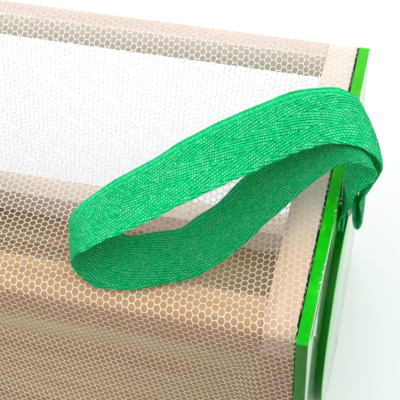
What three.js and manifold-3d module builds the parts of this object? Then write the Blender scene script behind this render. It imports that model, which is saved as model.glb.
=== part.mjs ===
// A long insect cage: a bar frame of pale wood wrapped in hexagonal net, closed at both ends by thin
// green lacquered panels. The right panel has a round hole behind a round swivel cover, and a cotton
// tape loop for carrying it. Millimetres, +X towards the panel with the cover, +Y to the back, +Z up,
// with the origin at the middle of the floor plate's underside.
import * as THREE from 'three';
import Module from 'manifold-3d';
import { mergeVertices } from 'three/addons/utils/BufferGeometryUtils.js';

const wasm = await Module();
wasm.setup();

// Overall sizes
const cageLength = 210;
const cageDepth = 140;
const cageHeight = 132;
const glueLine = 0.1;
const cutOverrun = 1;

// End panels
const panelThickness = 4;
const panelCornerRadius = 1.6;
const frontSetback = 3.5;
const backSetback = 0.1;
const topSetback = 0.6;

// Frame bars and floor: the top bar at the back is slimmer and squarer than the one at the front
const barWidth = 12;
const barHeight = 15;
const frontBarWidth = 13;
const frontRounding = 8;
const backBarWidth = 8;
const backBarHeight = 12;
const backRounding = 1;
const roundingSteps = 6;
const floorThickness = 4;

// Net
const netThickness = 0.4;
const netClearance = 0.1;
const netHem = 5;
const meshPitch = 17;
const meshThread = 1.8;
const gapSides = 6;

// Round hole and swivel cover: the cover's sweep round its pivot stays under the tape's tails
const coverThickness = 3;
const coverClearance = 0.2;
const coverLap = 12;
const sweepClearance = 1;
const pivotInset = 4;
const roundSteps = 48;

// Pivot screw with its washer and nut
const pivotShankRadius = 1.5;
const pivotHeadRadius = 3.4;
const pivotHeadHeight = 1.9;
const pivotTail = 1;
const washerThickness = 0.6;
const washerRadius = 3.6;
const nutThickness = 2.4;
const nutAcrossFlats = 5.5;
const nutSides = 6;
const shankClearance = 0.1;
const headClearance = 0.3;
const seatClearance = 0.1;
const smallSteps = 12;

// Pins that hold the panels to the end bars
const pinRadius = 0.7;
const pinHeadRadius = 1.4;
const pinHeadHeight = 0.6;
const pinLength = 14;
const pinInset = 8;
const pinSteps = 8;

// Carrying tape
const tapeWidth = 24.8;
const tapeThickness = 1;
const loopReach = 82;
const loopRise = 29.2;
const loopSway = 50;
const loopSteps = 84;
const foldOut = 10.7;
const foldUp = 7;
const anchorThickness = 3;
const anchorSeatShare = 0.17;
const anchorPressedShare = 0.8;
const anchorClearance = 0.3;
const clampDrop = 12;
const clampWidth = 14;
const tailDrop = 20;
const tapeScrewShankRadius = 1.5;
const tapeScrewHeadRadius = 3.4;
const tapeScrewHeadHeight = 2;
const tapeScrewLength = 11;
const tapeWasherRadius = 4.5;
const tapeWasherThickness = 0.8;

// The loop's middle line, from the end of its upper run to the end of its lower one. Each row holds
// the place out from the panel over loopReach, across over loopSway and up over loopRise, and then
// the heading and the tilt of the tape's width in degrees.
const loopRouteShares = [
  [0.145, 0.056, 0.308, 6, -3],
  [0.145, 0.08, 0.44, 12, -5],
  [0.12, 0.104, 0.643, 17, -6],
  [0.07, 0.096, 0.877, 13, -5],
  [-0.032, 0.072, 1, 13, 2],
  [-0.18, -0.008, 1, 23, 6],
  [-0.356, -0.144, 0.863, 31, 4],
  [-0.532, -0.344, 0.74, 36, 1],
  [-0.693, -0.552, 0.616, 37, -5],
  [-0.824, -0.728, 0.52, 35, -8],
  [-0.932, -0.856, 0.438, 29, -11],
  [-0.99, -0.904, 0.356, 18, -9],
  [-1, -0.92, 0.233, 2, -6],
  [-0.956, -0.952, 0.123, -14, -3],
  [-0.888, -0.992, 0.055, -10, 0],
  [-0.79, -1, 0.044, 6, 0],
  [-0.659, -0.936, 0.047, 19, -2],
  [-0.551, -0.848, 0.096, 30, -6],
  [-0.468, -0.736, 0.137, 39, -12],
  [-0.395, -0.608, 0.192, 43, -18],
  [-0.322, -0.456, 0.301, 38, -19],
  [-0.234, -0.312, 0.466, 29, -15],
  [-0.127, -0.184, 0.726, 22, -11],
  [-0.034, -0.112, 0.887, 13, -4],
  [0.036, -0.08, 0.83, 9, -1],
  [0.085, -0.064, 0.668, 5, 0],
  [0.11, -0.048, 0.452, 3, 0],
  [0.116, -0.032, 0.308, 0, 0],
];

// The stacked tape ends below the fold, from the tails up. Each row holds the place out from the
// panel over foldOut, the height over foldUp, the width over tapeWidth and the thickness over
// anchorThickness.
const anchorRouteShares = [
  [anchorSeatShare, -tailDrop / foldUp, 0.72, anchorPressedShare],
  [anchorSeatShare, -clampDrop / foldUp, clampWidth / tapeWidth, anchorPressedShare],
  [anchorSeatShare, -0.9, clampWidth / tapeWidth, anchorPressedShare],
  [0.3, -0.6, 0.64, 0.9],
  [0.58, -0.2, 0.76, 1],
  [0.86, 0.4, 0.88, 1],
  [1, 1, 0.94, 1],
  [1, 1.12, 0.94, 0.8],
  [1, 1.2, 0.94, 0.4],
];

// Places worked out from the sizes above
const panelOuter = cageLength / 2;
const panelInner = panelOuter - panelThickness;
const frameEnd = panelInner - glueLine;
const halfDepth = cageDepth / 2;
const frameFront = -halfDepth + frontSetback;
const frameBack = halfDepth - backSetback;
const frameTop = cageHeight - topSetback;
const frameBottom = floorThickness + glueLine;
const holeHeight = cageHeight / 2;
const coverRadius = cageHeight - tailDrop - sweepClearance - holeHeight;
const holeRadius = coverRadius - coverLap;
const pivotHeight = holeHeight - coverRadius + pivotInset;
const coverInner = panelOuter + coverClearance;
const coverOuter = coverInner + coverThickness;
const clampHeight = cageHeight - clampDrop;
const clampOut = panelOuter + anchorSeatShare * foldOut;

const woodMaterial = { color: 0xe0b98f, roughness: 0.62, metalness: 0 };
const endWoodMaterial = { color: 0xecd6bf, roughness: 0.62, metalness: 0 };
const floorMaterial = { color: 0xb98f63, roughness: 0.7, metalness: 0 };
const lacquerMaterial = { color: 0x14b41c, roughness: 0.22, metalness: 0 };
const netMaterial = { color: 0xf4e8da, roughness: 0.85, metalness: 0 };
const tapeMaterial = { color: 0x06b562, roughness: 0.9, metalness: 0 };
const steelMaterial = { color: 0xb9bcc0, roughness: 0.35, metalness: 1 };

const cage = new THREE.Group();

function addPiece(name, geometry, material) {
  const mesh = new THREE.Mesh(geometry, new THREE.MeshStandardMaterial(material));
  mesh.name = name;
  cage.add(mesh);
  return mesh;
}

// A block between two opposite corners
function block(low, high) {
  const size = high.map((value, axis) => value - low[axis]);
  const geometry = new THREE.BoxGeometry(...size);
  geometry.translate(...high.map((value, axis) => (value + low[axis]) / 2));
  return geometry;
}

// An outline drawn in Y and Z, run along X from one end to the other
function alongX(outline, xLow, xHigh) {
  const options = { depth: xHigh - xLow, bevelEnabled: false, curveSegments: roundingSteps };
  const geometry = new THREE.ExtrudeGeometry(outline, options);
  geometry.applyMatrix4(new THREE.Matrix4().makeBasis(
    new THREE.Vector3(0, 1, 0),
    new THREE.Vector3(0, 0, 1),
    new THREE.Vector3(1, 0, 0),
  ));
  geometry.translate(xLow, 0, 0);
  return geometry;
}

// A turned piece: rows of distance along X and radius, from one end on the axis to the other
function turned(rows, steps, place) {
  const points = rows.map(([along, radius]) => new THREE.Vector2(radius, along));
  const geometry = new THREE.LatheGeometry(points, steps);
  geometry.rotateZ(-Math.PI / 2);
  geometry.translate(...place);
  return geometry;
}

function toSolid(geometry) {
  const bare = geometry.index ? geometry.toNonIndexed() : geometry.clone();
  bare.deleteAttribute('normal');
  bare.deleteAttribute('uv');
  const merged = mergeVertices(bare);
  const mesh = new wasm.Mesh({
    numProp: 3,
    vertProperties: new Float32Array(merged.attributes.position.array),
    triVerts: new Uint32Array(merged.index.array),
  });
  return new wasm.Manifold(mesh);
}

function fromSolid(solid) {
  const { vertProperties, triVerts } = solid.getMesh();
  const geometry = new THREE.BufferGeometry();
  geometry.setAttribute('position', new THREE.BufferAttribute(new Float32Array(vertProperties), 3));
  geometry.setIndex(new THREE.BufferAttribute(new Uint32Array(triVerts), 1));
  return geometry;
}

function cut(geometry, cutters) {
  let solid = toSolid(geometry);
  for (const cutter of cutters) {
    solid = solid.subtract(toSolid(cutter));
  }
  return fromSolid(solid);
}

// A straight round cutter along X
function drill(xLow, xHigh, radius, y, z, steps) {
  const rows = [[0, 0], [0, radius], [xHigh - xLow, radius], [xHigh - xLow, 0]];
  return turned(rows, steps, [xLow, y, z]);
}

// Pins: one near each corner of each panel, driven through it into the end bars
const pinPlaces = [];
for (const y of [frameFront + pinInset, frameBack - pinInset]) {
  for (const z of [frameBottom + barHeight / 2, frameTop - barHeight / 2]) {
    pinPlaces.push([y, z]);
  }
}

function pinCutter(side, y, z) {
  const tip = panelOuter - pinLength - cutOverrun;
  const shank = drill(tip, panelOuter + cutOverrun, pinRadius + shankClearance, y, z, pinSteps);
  return side > 0 ? shank : shank.rotateZ(Math.PI).translate(0, 2 * y, 0);
}

function pinHeadCutter(side, y, z) {
  const seat = panelOuter - pinHeadHeight - seatClearance;
  const head = drill(seat, panelOuter + cutOverrun, pinHeadRadius + shankClearance, y, z, pinSteps);
  return side > 0 ? head : head.rotateZ(Math.PI).translate(0, 2 * y, 0);
}

function makePins(side, panelName) {
  pinPlaces.forEach(([y, z], index) => {
    const rows = [
      [-pinLength, 0],
      [-pinLength + pinRadius, pinRadius],
      [-pinHeadHeight, pinRadius],
      [-pinHeadHeight, pinHeadRadius],
      [0, pinHeadRadius],
      [0, 0],
    ];
    const pin = turned(rows, pinSteps, [panelOuter, y, z]);
    if (side < 0) {
      pin.rotateZ(Math.PI).translate(0, 2 * y, 0);
    }
    addPiece(`${panelName}_pin_${index + 1}`, pin, steelMaterial);
  });
}

// End panels
function panelOutline() {
  const outline = new THREE.Shape();
  const r = panelCornerRadius;
  outline.moveTo(-halfDepth + r, 0);
  outline.lineTo(halfDepth - r, 0);
  outline.absarc(halfDepth - r, r, r, -Math.PI / 2, 0, false);
  outline.lineTo(halfDepth, cageHeight - r);
  outline.absarc(halfDepth - r, cageHeight - r, r, 0, Math.PI / 2, false);
  outline.lineTo(-halfDepth + r, cageHeight);
  outline.absarc(-halfDepth + r, cageHeight - r, r, Math.PI / 2, Math.PI, false);
  outline.lineTo(-halfDepth, r);
  outline.absarc(-halfDepth + r, r, r, Math.PI, Math.PI * 1.5, false);
  return outline;
}

function makePanels() {
  const right = [
    drill(panelInner - cutOverrun, panelOuter + cutOverrun, holeRadius, 0, holeHeight, roundSteps),
    drill(panelInner - cutOverrun, panelOuter + cutOverrun,
      pivotShankRadius + shankClearance, 0, pivotHeight, smallSteps),
    drill(panelInner - cutOverrun, panelOuter + cutOverrun,
      tapeScrewShankRadius + shankClearance, 0, clampHeight, smallSteps),
  ];
  const left = [];
  for (const [y, z] of pinPlaces) {
    right.push(pinCutter(1, y, z), pinHeadCutter(1, y, z));
    left.push(pinCutter(-1, y, z), pinHeadCutter(-1, y, z));
  }
  const rightPlate = alongX(panelOutline(), panelInner, panelOuter);
  const leftPlate = alongX(panelOutline(), -panelOuter, -panelInner);
  addPiece('right_end_panel', cut(rightPlate, right), lacquerMaterial);
  addPiece('left_end_panel', cut(leftPlate, left), lacquerMaterial);
  makePins(1, 'right_panel');
  makePins(-1, 'left_panel');
}

// Frame: two end frames of two cross bars and two posts, and four long bars between them
function crossBarOutline(zLow, roundTop) {
  const frontRound = roundTop ? frontRounding : 0;
  const backRound = roundTop ? backRounding : 0;
  const zHigh = zLow + barHeight;
  const outline = new THREE.Shape();
  outline.moveTo(frameFront, zLow);
  outline.lineTo(frameBack, zLow);
  outline.lineTo(frameBack, zHigh - backRound);
  if (roundTop) {
    outline.absarc(frameBack - backRound, zHigh - backRound, backRound, 0, Math.PI / 2, false);
  }
  outline.lineTo(frameFront + frontRound, zHigh);
  if (roundTop) {
    outline.absarc(frameFront + frontRound, zHigh - frontRound, frontRound,
      Math.PI / 2, Math.PI, false);
  }
  return outline;
}

// A top bar's section, with radius r on its outer edge
function topBarOutline(yLow, yHigh, zLow, outerSide, r) {
  const outline = new THREE.Shape();
  outline.moveTo(yLow, zLow);
  outline.lineTo(yHigh, zLow);
  if (outerSide > 0) {
    outline.lineTo(yHigh, frameTop - r);
    outline.absarc(yHigh - r, frameTop - r, r, 0, Math.PI / 2, false);
  } else {
    outline.lineTo(yHigh, frameTop);
  }
  if (outerSide < 0) {
    outline.lineTo(yLow + r, frameTop);
    outline.absarc(yLow + r, frameTop - r, r, Math.PI / 2, Math.PI, false);
  } else {
    outline.lineTo(yLow, frameTop);
  }
  return outline;
}

const topBarHeight = frameTop - barHeight;

function makeEndFrame(side, name) {
  const inner = frameEnd - barWidth;
  const xLow = side > 0 ? inner : -frameEnd;
  const xHigh = side > 0 ? frameEnd : -inner;
  for (const [level, zLow, rounded] of [['top', topBarHeight, true], ['bottom', frameBottom, false]]) {
    const cutters = pinPlaces
      .filter(([, z]) => z > zLow && z < zLow + barHeight)
      .map(([y, z]) => pinCutter(side, y, z));
    if (side > 0 && level === 'top') {
      cutters.push(drill(panelOuter - tapeScrewLength - cutOverrun, panelOuter + cutOverrun,
        tapeScrewShankRadius + shankClearance, 0, clampHeight, smallSteps));
    }
    const bar = alongX(crossBarOutline(zLow, rounded), xLow, xHigh);
    addPiece(`${name}_${level}_bar`, cut(bar, cutters), endWoodMaterial);
  }
  const postLow = frameBottom + barHeight + glueLine;
  const postHigh = topBarHeight - glueLine;
  const front = block([xLow, frameFront, postLow], [xHigh, frameFront + barWidth, postHigh]);
  const back = block([xLow, frameBack - barWidth, postLow], [xHigh, frameBack, postHigh]);
  addPiece(`${name}_front_post`, front, endWoodMaterial);
  addPiece(`${name}_back_post`, back, endWoodMaterial);
}

function makeLongBars() {
  const reach = frameEnd - barWidth - glueLine;
  const frontBar = topBarOutline(frameFront, frameFront + frontBarWidth, topBarHeight, -1,
    frontRounding);
  const backBar = topBarOutline(frameBack - backBarWidth, frameBack, frameTop - backBarHeight, 1,
    backRounding);
  addPiece('front_top_bar', alongX(frontBar, -reach, reach), woodMaterial);
  addPiece('back_top_bar', alongX(backBar, -reach, reach), woodMaterial);
  const low = [-reach, frameFront, frameBottom];
  const high = [reach, frameFront + barWidth, frameBottom + barHeight];
  addPiece('front_bottom_bar', block(low, high), woodMaterial);
  const backLow = [-reach, frameBack - barWidth, frameBottom];
  const backHigh = [reach, frameBack, frameBottom + barHeight];
  addPiece('back_bottom_bar', block(backLow, backHigh), woodMaterial);
}

function makeFloor() {
  const floor = block([-frameEnd, frameFront, 0], [frameEnd, frameBack, floorThickness]);
  addPiece('floor_plate', floor, floorMaterial);
}

// Net: a flat sheet, laid in X and Y, with hexagonal gaps between its threads
function gapOutlines(width, height) {
  const gapRadius = (meshPitch - meshThread) / Math.sqrt(3);
  const rowPitch = meshPitch * Math.sqrt(3) / 2;
  const rows = Math.floor((height / 2 - netHem - gapRadius) / rowPitch);
  const outlines = [];
  for (let row = -rows; row <= rows; row += 1) {
    const shift = row % 2 === 0 ? 0 : meshPitch / 2;
    const columns = Math.floor((width / 2 - netHem - meshPitch / 2 - shift) / meshPitch);
    const first = shift > 0 ? -columns - 1 : -columns;
    for (let column = first; column <= columns; column += 1) {
      const corners = [];
      for (let corner = 0; corner < gapSides; corner += 1) {
        const angle = (corner + 0.5) * 2 * Math.PI / gapSides;
        corners.push(new THREE.Vector2(
          column * meshPitch + shift + gapRadius * Math.cos(angle),
          row * rowPitch + gapRadius * Math.sin(angle),
        ));
      }
      outlines.push(new THREE.Shape(corners));
    }
  }
  return outlines;
}

function netGeometry(width, height) {
  const sheet = block([-width / 2, -height / 2, 0], [width / 2, height / 2, netThickness]);
  const options = { depth: netThickness + 2 * cutOverrun, bevelEnabled: false };
  const gaps = new THREE.ExtrudeGeometry(gapOutlines(width, height), options);
  gaps.translate(0, 0, -cutOverrun);
  return cut(sheet, [gaps]);
}

function makeNets() {
  const width = 2 * frameEnd;
  const topLow = frameFront + frontRounding;
  const topHigh = frameBack - backRounding;
  const top = netGeometry(width, topHigh - topLow);
  top.translate(0, (topLow + topHigh) / 2, frameTop + netClearance);
  addPiece('top_net', top, netMaterial);
  const frontHigh = frameTop - frontRounding;
  const front = netGeometry(width, frontHigh - frameBottom);
  front.rotateX(Math.PI / 2);
  front.translate(0, frameFront - netClearance, (frontHigh + frameBottom) / 2);
  addPiece('front_net', front, netMaterial);
  const backHigh = frameTop - backRounding;
  const back = netGeometry(width, backHigh - frameBottom);
  back.rotateX(Math.PI / 2);
  back.translate(0, frameBack + netClearance + netThickness, (backHigh + frameBottom) / 2);
  addPiece('back_net', back, netMaterial);
}

// Swivel cover on its screw, with the washer and nut inside the panel
function makeCover() {
  const headSeat = coverOuter - pivotHeadHeight;
  const plate = drill(coverInner, coverOuter, coverRadius, 0, holeHeight, roundSteps);
  const bore = drill(coverInner - cutOverrun, coverOuter + cutOverrun,
    pivotShankRadius + shankClearance, 0, pivotHeight, smallSteps);
  const slope = (pivotHeadRadius - pivotShankRadius) / pivotHeadHeight;
  const mouth = pivotHeadRadius + headClearance + slope * cutOverrun;
  const sinkRows = [
    [headSeat, 0],
    [headSeat, pivotShankRadius + headClearance],
    [coverOuter + cutOverrun, mouth],
    [coverOuter + cutOverrun, 0],
  ];
  const sink = turned(sinkRows, smallSteps, [0, 0, pivotHeight]);
  addPiece('swivel_cover', cut(plate, [bore, sink]), lacquerMaterial);

  const washerFace = panelInner - seatClearance;
  const nutFace = washerFace - washerThickness - seatClearance;
  const shankEnd = nutFace - nutThickness - pivotTail;
  const screwRows = [
    [shankEnd, 0],
    [shankEnd, pivotShankRadius],
    [headSeat, pivotShankRadius],
    [coverOuter, pivotHeadRadius],
    [coverOuter, 0],
  ];
  addPiece('pivot_screw', turned(screwRows, smallSteps, [0, 0, pivotHeight]), steelMaterial);

  const boreRadius = pivotShankRadius + shankClearance;
  const washer = drill(washerFace - washerThickness, washerFace, washerRadius, 0, pivotHeight,
    smallSteps);
  const washerBore = drill(washerFace - washerThickness - cutOverrun, washerFace + cutOverrun,
    boreRadius, 0, pivotHeight, smallSteps);
  addPiece('pivot_washer', cut(washer, [washerBore]), steelMaterial);

  const nutRadius = nutAcrossFlats / Math.sqrt(3);
  const nut = drill(nutFace - nutThickness, nutFace, nutRadius, 0, pivotHeight, nutSides);
  const nutBore = drill(nutFace - nutThickness - cutOverrun, nutFace + cutOverrun,
    boreRadius, 0, pivotHeight, smallSteps);
  addPiece('pivot_nut', cut(nut, [nutBore]), steelMaterial);
}

// A flat strap through stations of { middle, across, thickness }, where across is half its width as
// a vector and the thickness lies square to the run
function strapGeometry(stations) {
  const positions = [];
  const index = [];
  stations.forEach(({ middle, across, thickness }, at) => {
    const before = stations[Math.max(at - 1, 0)].middle;
    const after = stations[Math.min(at + 1, stations.length - 1)].middle;
    const run = after.clone().sub(before).normalize();
    const up = run.clone().cross(across).normalize().multiplyScalar(thickness / 2);
    for (const [side, level] of [[-1, -1], [1, -1], [1, 1], [-1, 1]]) {
      const corner = middle.clone().addScaledVector(across, side).addScaledVector(up, level);
      positions.push(corner.x, corner.y, corner.z);
    }
  });
  for (let at = 0; at < stations.length - 1; at += 1) {
    for (let corner = 0; corner < 4; corner += 1) {
      const here = at * 4 + corner;
      const beside = at * 4 + (corner + 1) % 4;
      index.push(here, beside, here + 4);
      index.push(beside, beside + 4, here + 4);
    }
  }
  const last = (stations.length - 1) * 4;
  index.push(0, 2, 1, 0, 3, 2);
  index.push(last, last + 1, last + 2, last, last + 2, last + 3);
  const geometry = new THREE.BufferGeometry();
  geometry.setAttribute('position', new THREE.BufferAttribute(new Float32Array(positions), 3));
  geometry.setIndex(index);
  return geometry;
}

// Carrying tape: the loop over the roof, and its stacked ends screwed to the panel's outer face
function makeLoop() {
  const middles = loopRouteShares.map(([out, across, up]) => new THREE.Vector3(
    panelOuter + out * loopReach,
    across * loopSway,
    cageHeight + up * loopRise,
  ));
  const route = new THREE.CatmullRomCurve3(middles, false, 'centripetal');
  const stations = [];
  for (let step = 0; step <= loopSteps; step += 1) {
    const share = step / loopSteps;
    const place = share * (loopRouteShares.length - 1);
    const at = Math.min(Math.floor(place), loopRouteShares.length - 2);
    const [, , , headingA, tiltA] = loopRouteShares[at];
    const [, , , headingB, tiltB] = loopRouteShares[at + 1];
    const heading = THREE.MathUtils.degToRad(THREE.MathUtils.lerp(headingA, headingB, place - at));
    const tilt = THREE.MathUtils.degToRad(THREE.MathUtils.lerp(tiltA, tiltB, place - at));
    const across = new THREE.Vector3(
      -Math.sin(heading) * Math.cos(tilt),
      Math.cos(heading) * Math.cos(tilt),
      Math.sin(tilt),
    ).multiplyScalar(tapeWidth / 2);
    stations.push({ middle: route.getPoint(share), across, thickness: tapeThickness });
  }
  addPiece('carry_loop', strapGeometry(stations), tapeMaterial);
}

function makeAnchor() {
  const stations = anchorRouteShares.map(([out, up, width, thickness]) => ({
    middle: new THREE.Vector3(panelOuter + out * foldOut, 0, cageHeight + up * foldUp),
    across: new THREE.Vector3(0, width * tapeWidth / 2, 0),
    thickness: thickness * anchorThickness,
  }));
  const bore = drill(panelOuter - cutOverrun, panelOuter + foldOut,
    tapeScrewShankRadius + shankClearance, 0, clampHeight, smallSteps);
  addPiece('tape_ends', cut(strapGeometry(stations), [bore]), tapeMaterial);

  const tapeFace = clampOut + anchorPressedShare * anchorThickness / 2;
  const washerLow = tapeFace + anchorClearance;
  const washerHigh = washerLow + tapeWasherThickness;
  const washer = drill(washerLow, washerHigh, tapeWasherRadius, 0, clampHeight, smallSteps);
  const washerBore = drill(washerLow - cutOverrun, washerHigh + cutOverrun,
    tapeScrewShankRadius + shankClearance, 0, clampHeight, smallSteps);
  addPiece('tape_washer', cut(washer, [washerBore]), steelMaterial);

  const headLow = washerHigh + seatClearance;
  const screwRows = [
    [panelOuter - tapeScrewLength, 0],
    [panelOuter - tapeScrewLength + tapeScrewShankRadius, tapeScrewShankRadius],
    [headLow, tapeScrewShankRadius],
    [headLow, tapeScrewHeadRadius],
    [headLow + tapeScrewHeadHeight / 2, tapeScrewHeadRadius],
    [headLow + tapeScrewHeadHeight, tapeScrewHeadRadius / 2],
    [headLow + tapeScrewHeadHeight, 0],
  ];
  addPiece('tape_screw', turned(screwRows, smallSteps, [0, 0, clampHeight]), steelMaterial);
}

makePanels();
makeEndFrame(1, 'right');
makeEndFrame(-1, 'left');
makeLongBars();
makeFloor();
makeNets();
makeCover();
makeLoop();
makeAnchor();

export default cage;
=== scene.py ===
import math

import bmesh
import bpy
import numpy as np
from mathutils import Matrix, Vector


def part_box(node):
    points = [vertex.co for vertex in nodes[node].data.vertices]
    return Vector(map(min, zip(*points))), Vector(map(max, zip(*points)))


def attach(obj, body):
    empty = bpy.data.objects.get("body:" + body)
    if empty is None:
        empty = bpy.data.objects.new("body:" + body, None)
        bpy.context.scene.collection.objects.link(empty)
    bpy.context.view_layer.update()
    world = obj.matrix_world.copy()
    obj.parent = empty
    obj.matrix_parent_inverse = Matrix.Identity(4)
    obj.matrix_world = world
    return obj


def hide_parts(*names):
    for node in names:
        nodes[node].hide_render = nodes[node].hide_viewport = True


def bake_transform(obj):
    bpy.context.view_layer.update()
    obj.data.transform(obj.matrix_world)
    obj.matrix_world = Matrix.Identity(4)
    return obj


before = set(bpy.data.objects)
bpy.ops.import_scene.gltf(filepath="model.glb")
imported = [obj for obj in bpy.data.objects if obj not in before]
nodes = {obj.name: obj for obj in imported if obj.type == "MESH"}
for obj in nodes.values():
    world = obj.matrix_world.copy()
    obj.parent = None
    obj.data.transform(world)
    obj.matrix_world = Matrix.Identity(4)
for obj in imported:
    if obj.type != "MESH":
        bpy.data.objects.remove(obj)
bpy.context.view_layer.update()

# Lengths are in metres and angles in degrees.

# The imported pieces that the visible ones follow
panel_low, panel_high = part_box("right_end_panel")
top_net_low, top_net_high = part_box("top_net")
_, front_net_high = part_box("front_net")
back_net_low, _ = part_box("back_net")
_, cover_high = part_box("swivel_cover")
front_bar_low, front_bar_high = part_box("front_top_bar")
back_bar_low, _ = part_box("back_top_bar")
end_bar_low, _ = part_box("right_top_bar")
_, front_foot_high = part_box("front_bottom_bar")

full_turn = 2.0 * math.pi

# Camera, fitted to the photograph's edges; its focal length is in points of the picture
camera_angles = -15.84, 50.59, 3.38
camera_place = 0.130, -0.2738, 0.4551
focal_points = 1191.0
picture_points = 400.0
sensor_width = 36.0
nearest_seen, farthest_seen = 0.01, 50.0

# Lamps: name, place, aimed at, side of the square, watts, colour
warm_white = 1.0, 0.985, 0.96
plain_white = 1.0, 1.0, 1.0
lamps = [
    ("key", (0.0, -0.54, 1.10), (0.0, 0.0, 0.10), 0.9, 4.4, warm_white),
    ("left", (-0.62, -0.22, 0.55), (0.06, 0.0, 0.12), 0.45, 0.7, warm_white),
    ("front", (-0.15, -0.80, 0.36), (0.0, -0.06, 0.07), 0.5, 1.7, warm_white),
    ("side", (0.95, 0.10, 0.45), (0.1, 0.0, 0.10), 0.6, 2.6, plain_white),
    ("back", (0.0, 0.40, 0.20), (0.0, 0.07, 0.08), 0.3, 0.75, plain_white),
]

# The world's light grows towards one direction; the camera, gloss and glass see plain white
sky_colour = 0.88, 0.93, 1.0, 1.0
sky_direction = -0.1, 0.45, 0.88
sky_lean = -0.45, 0.6
sky_strength = 0.16, 0.78
seen_white = 1.0, 1.0, 1.0, 1.0

# Floor: half its side, its drop below the part, its own colour, how far the camera sees it as white, and the
# darker colour that the bounced light gets from it
floor_reach = 4.0
floor_drop = 0.0002
floor_colour = 0.86, 0.86, 0.87, 1.0
floor_glow_share = 0.45
floor_bounce = 0.30, 0.30, 0.30, 1.0

# Wood: how fine the grain, the bands and the pores are, across their run and along it
grain_rates = 260.0, 14.0
band_rates = 55.0, 3.0
pore_rates = 900.0, 45.0
# painted shade: the dark line of the gap along the end panels, in X from the middle, and how much it wavers
gap_shade_start, gap_shade_full, gap_shade_waver = 0.1000, 0.1002, 0.0003
# painted shade: the front faces are darker, from one Y to another
front_shade_from, front_shade_to, front_shade_share = -0.0648, -0.0664, 0.5

# Lacquer: painted light makes it paler towards the back, from one Y to another, as a share of the paler
# green
back_painted_light = 0.01, 0.065, 0.0, 0.5
# how far in from an outward face and from an edge chips reach, and where they are whole
chip_from_face, chip_from_edge, chip_whole = 0.0010, 0.0012, 0.0002
# how far back the painted shade on the front edge reaches, and where the polish of an outward face starts
# and is full
front_shade_reach = 0.0008
polish_start, polish_full = 0.0003, 0.0001
# painted shade: where the cover's round edge starts to darken and is darkest, in from its face
rim_shade_start, rim_shade_full, rim_shade_share = 0.0002, 0.0006, 0.85
# the place behind the tape that loses its polish, as painted shade, in Y to either side, in Z and in X
tape_shade_y, tape_shade_z, tape_shade_x = (0.022, 0.016), (0.106, 0.116), (0.0, 0.01)

# Dressed pieces: how far their edges are rounded off, and the angles that count as flat, hard and smooth
edge_bevel = 0.0004
flat_angle, hard_angle, smooth_angle = 1.0, 35, 30.0

# Net: the cells' pitch across and along the sheet, how far the sheet is turned, and how far a thread's edge
# lies from its middle
cell_across, cell_along = 0.00215, 0.00290
net_turn = -7.0
thread = 0.00016
thread_height = 0.00013
# a cell's flat sides end and its points lie this far across from its middle, in pitches
flat_share, point_share = 0.34, 0.66
# its hole is pulled in by this many threads at the corners and at the middles of the sides
corner_pull, side_pull = 1.35, 1.0
# added to the sheet's normal, so that its threads catch the light as round ones do
thread_lift = 0.0, -0.4, 2.6
# how far the corners of the cells are moved at random
nudge = 0.00003
# half the side of the lattice that the sheet is cut from, and the margins inside its cut sides and ends
net_reach = 0.26
cut_margin = 0.0002
end_margin = 0.0004
# how ragged the cut sides are, with two lengths that this repeats in
ragged_depth, ragged_fine, ragged_slow = 0.0003, 0.00031, 0.00083
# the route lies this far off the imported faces, starts this far above the foot, and bends over the back and
# the front bar with these radii, in steps
net_lift = 0.00012
net_foot_gap = 0.0004
back_bend, front_bend = 0.0011, 0.0050
back_steps, front_steps = 6, 16
# the step along the route that its direction is measured over
slope_step = 0.0003
# the smallest share of the uncut sheet that its area is given as
# its thread gets whiter towards the back as painted light, and lets more light through there, each from one
# Y to another
net_painted_light = -0.04, 0.0, 0.0, 0.9
net_through = 0.066, 0.069, 0.1, 0.7

# Roof: how deep the net sags at a distance in from a bar, and how soon this fades at the end bars
sag_inward = np.array([0.0, 3.0, 6.0, 10.0, 14.0, 18.0, 23.0, 30.0, 40.0, 52.0]) * 0.001
sag_deep = np.array([0.0, 1.25, 2.4, 3.8, 5.0, 6.05, 7.2, 8.5, 9.6, 10.0]) * 0.001
sag_end_fade = 0.005
# what counts as the roof lies above the front bar's top less this, and the front within this of its face
roof_margin, front_margin = 0.0005, 0.0003
# Front: how far the crease lies below the bar at a distance from the middle
crease_across = [0.0, 0.02, 0.047, 0.061, 0.08]
crease_below = [0.0172, 0.0162, 0.0140, 0.0158, 0.0160]
crease_common = 0.0162
# how far in the net leans on its way down to the crease, at shares of that way
lean_shares = [0.0, 0.15, 0.4, 1.0]
lean_in = [0.0, 0.0002, 0.00085, 0.0030]
# how much further in it hangs at a drop past the crease, in the middle and at the sides
past_drop = np.array([0.0, 6.0, 12.0, 26.0, 40.0, 70.0]) * 0.001
middle_in = np.array([0.0, -0.26, -0.28, 0.10, 0.20, -1.6]) * 0.001
side_in = np.array([0.0, 0.15, 0.55, 2.20, 3.0, 1.0]) * 0.001
side_start, side_span = 0.035, 0.035
# these distances bring it back to the posts and the foot, and start its small waves below the bar
post_fade, foot_fade, wave_fade = 0.010, 0.02, 0.01
front_wave = 0.00012

# Tape: width and thickness, points along it and across one face
tape_width, tape_thick = 0.0248, 0.00085
# the rows below are written in this unit
tape_unit = 0.004
tape_steps, tape_columns = 620, 41
# ruffles of the far and of the near selvedge: height, length and start of two waves
far_ruffles = (0.00014, 0.0053, 0.4), (0.00010, 0.0021, 1.9)
near_ruffles = (0.00014, 0.0061, 2.4), (0.00010, 0.0019, 0.7)
# waves of the whole width and of its edges, height and length
wave_high, wave_long = 0.00022, 0.0085
edge_high, edge_long = 0.00010, 0.0031
# how much of each cut end stays without waves, and over what length they rise
still_end, wave_rise = 0.06, 0.03
# herringbone: width of a stripe, spacing of the ribs, length of a stitch, and how far the ribs lean
stripe, rib, stitch, rib_lean = 0.0066, 0.00116, 0.00096, 0.22
# brings a turn of the ribs to its place in the width
stripe_offset = 0.0504
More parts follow.
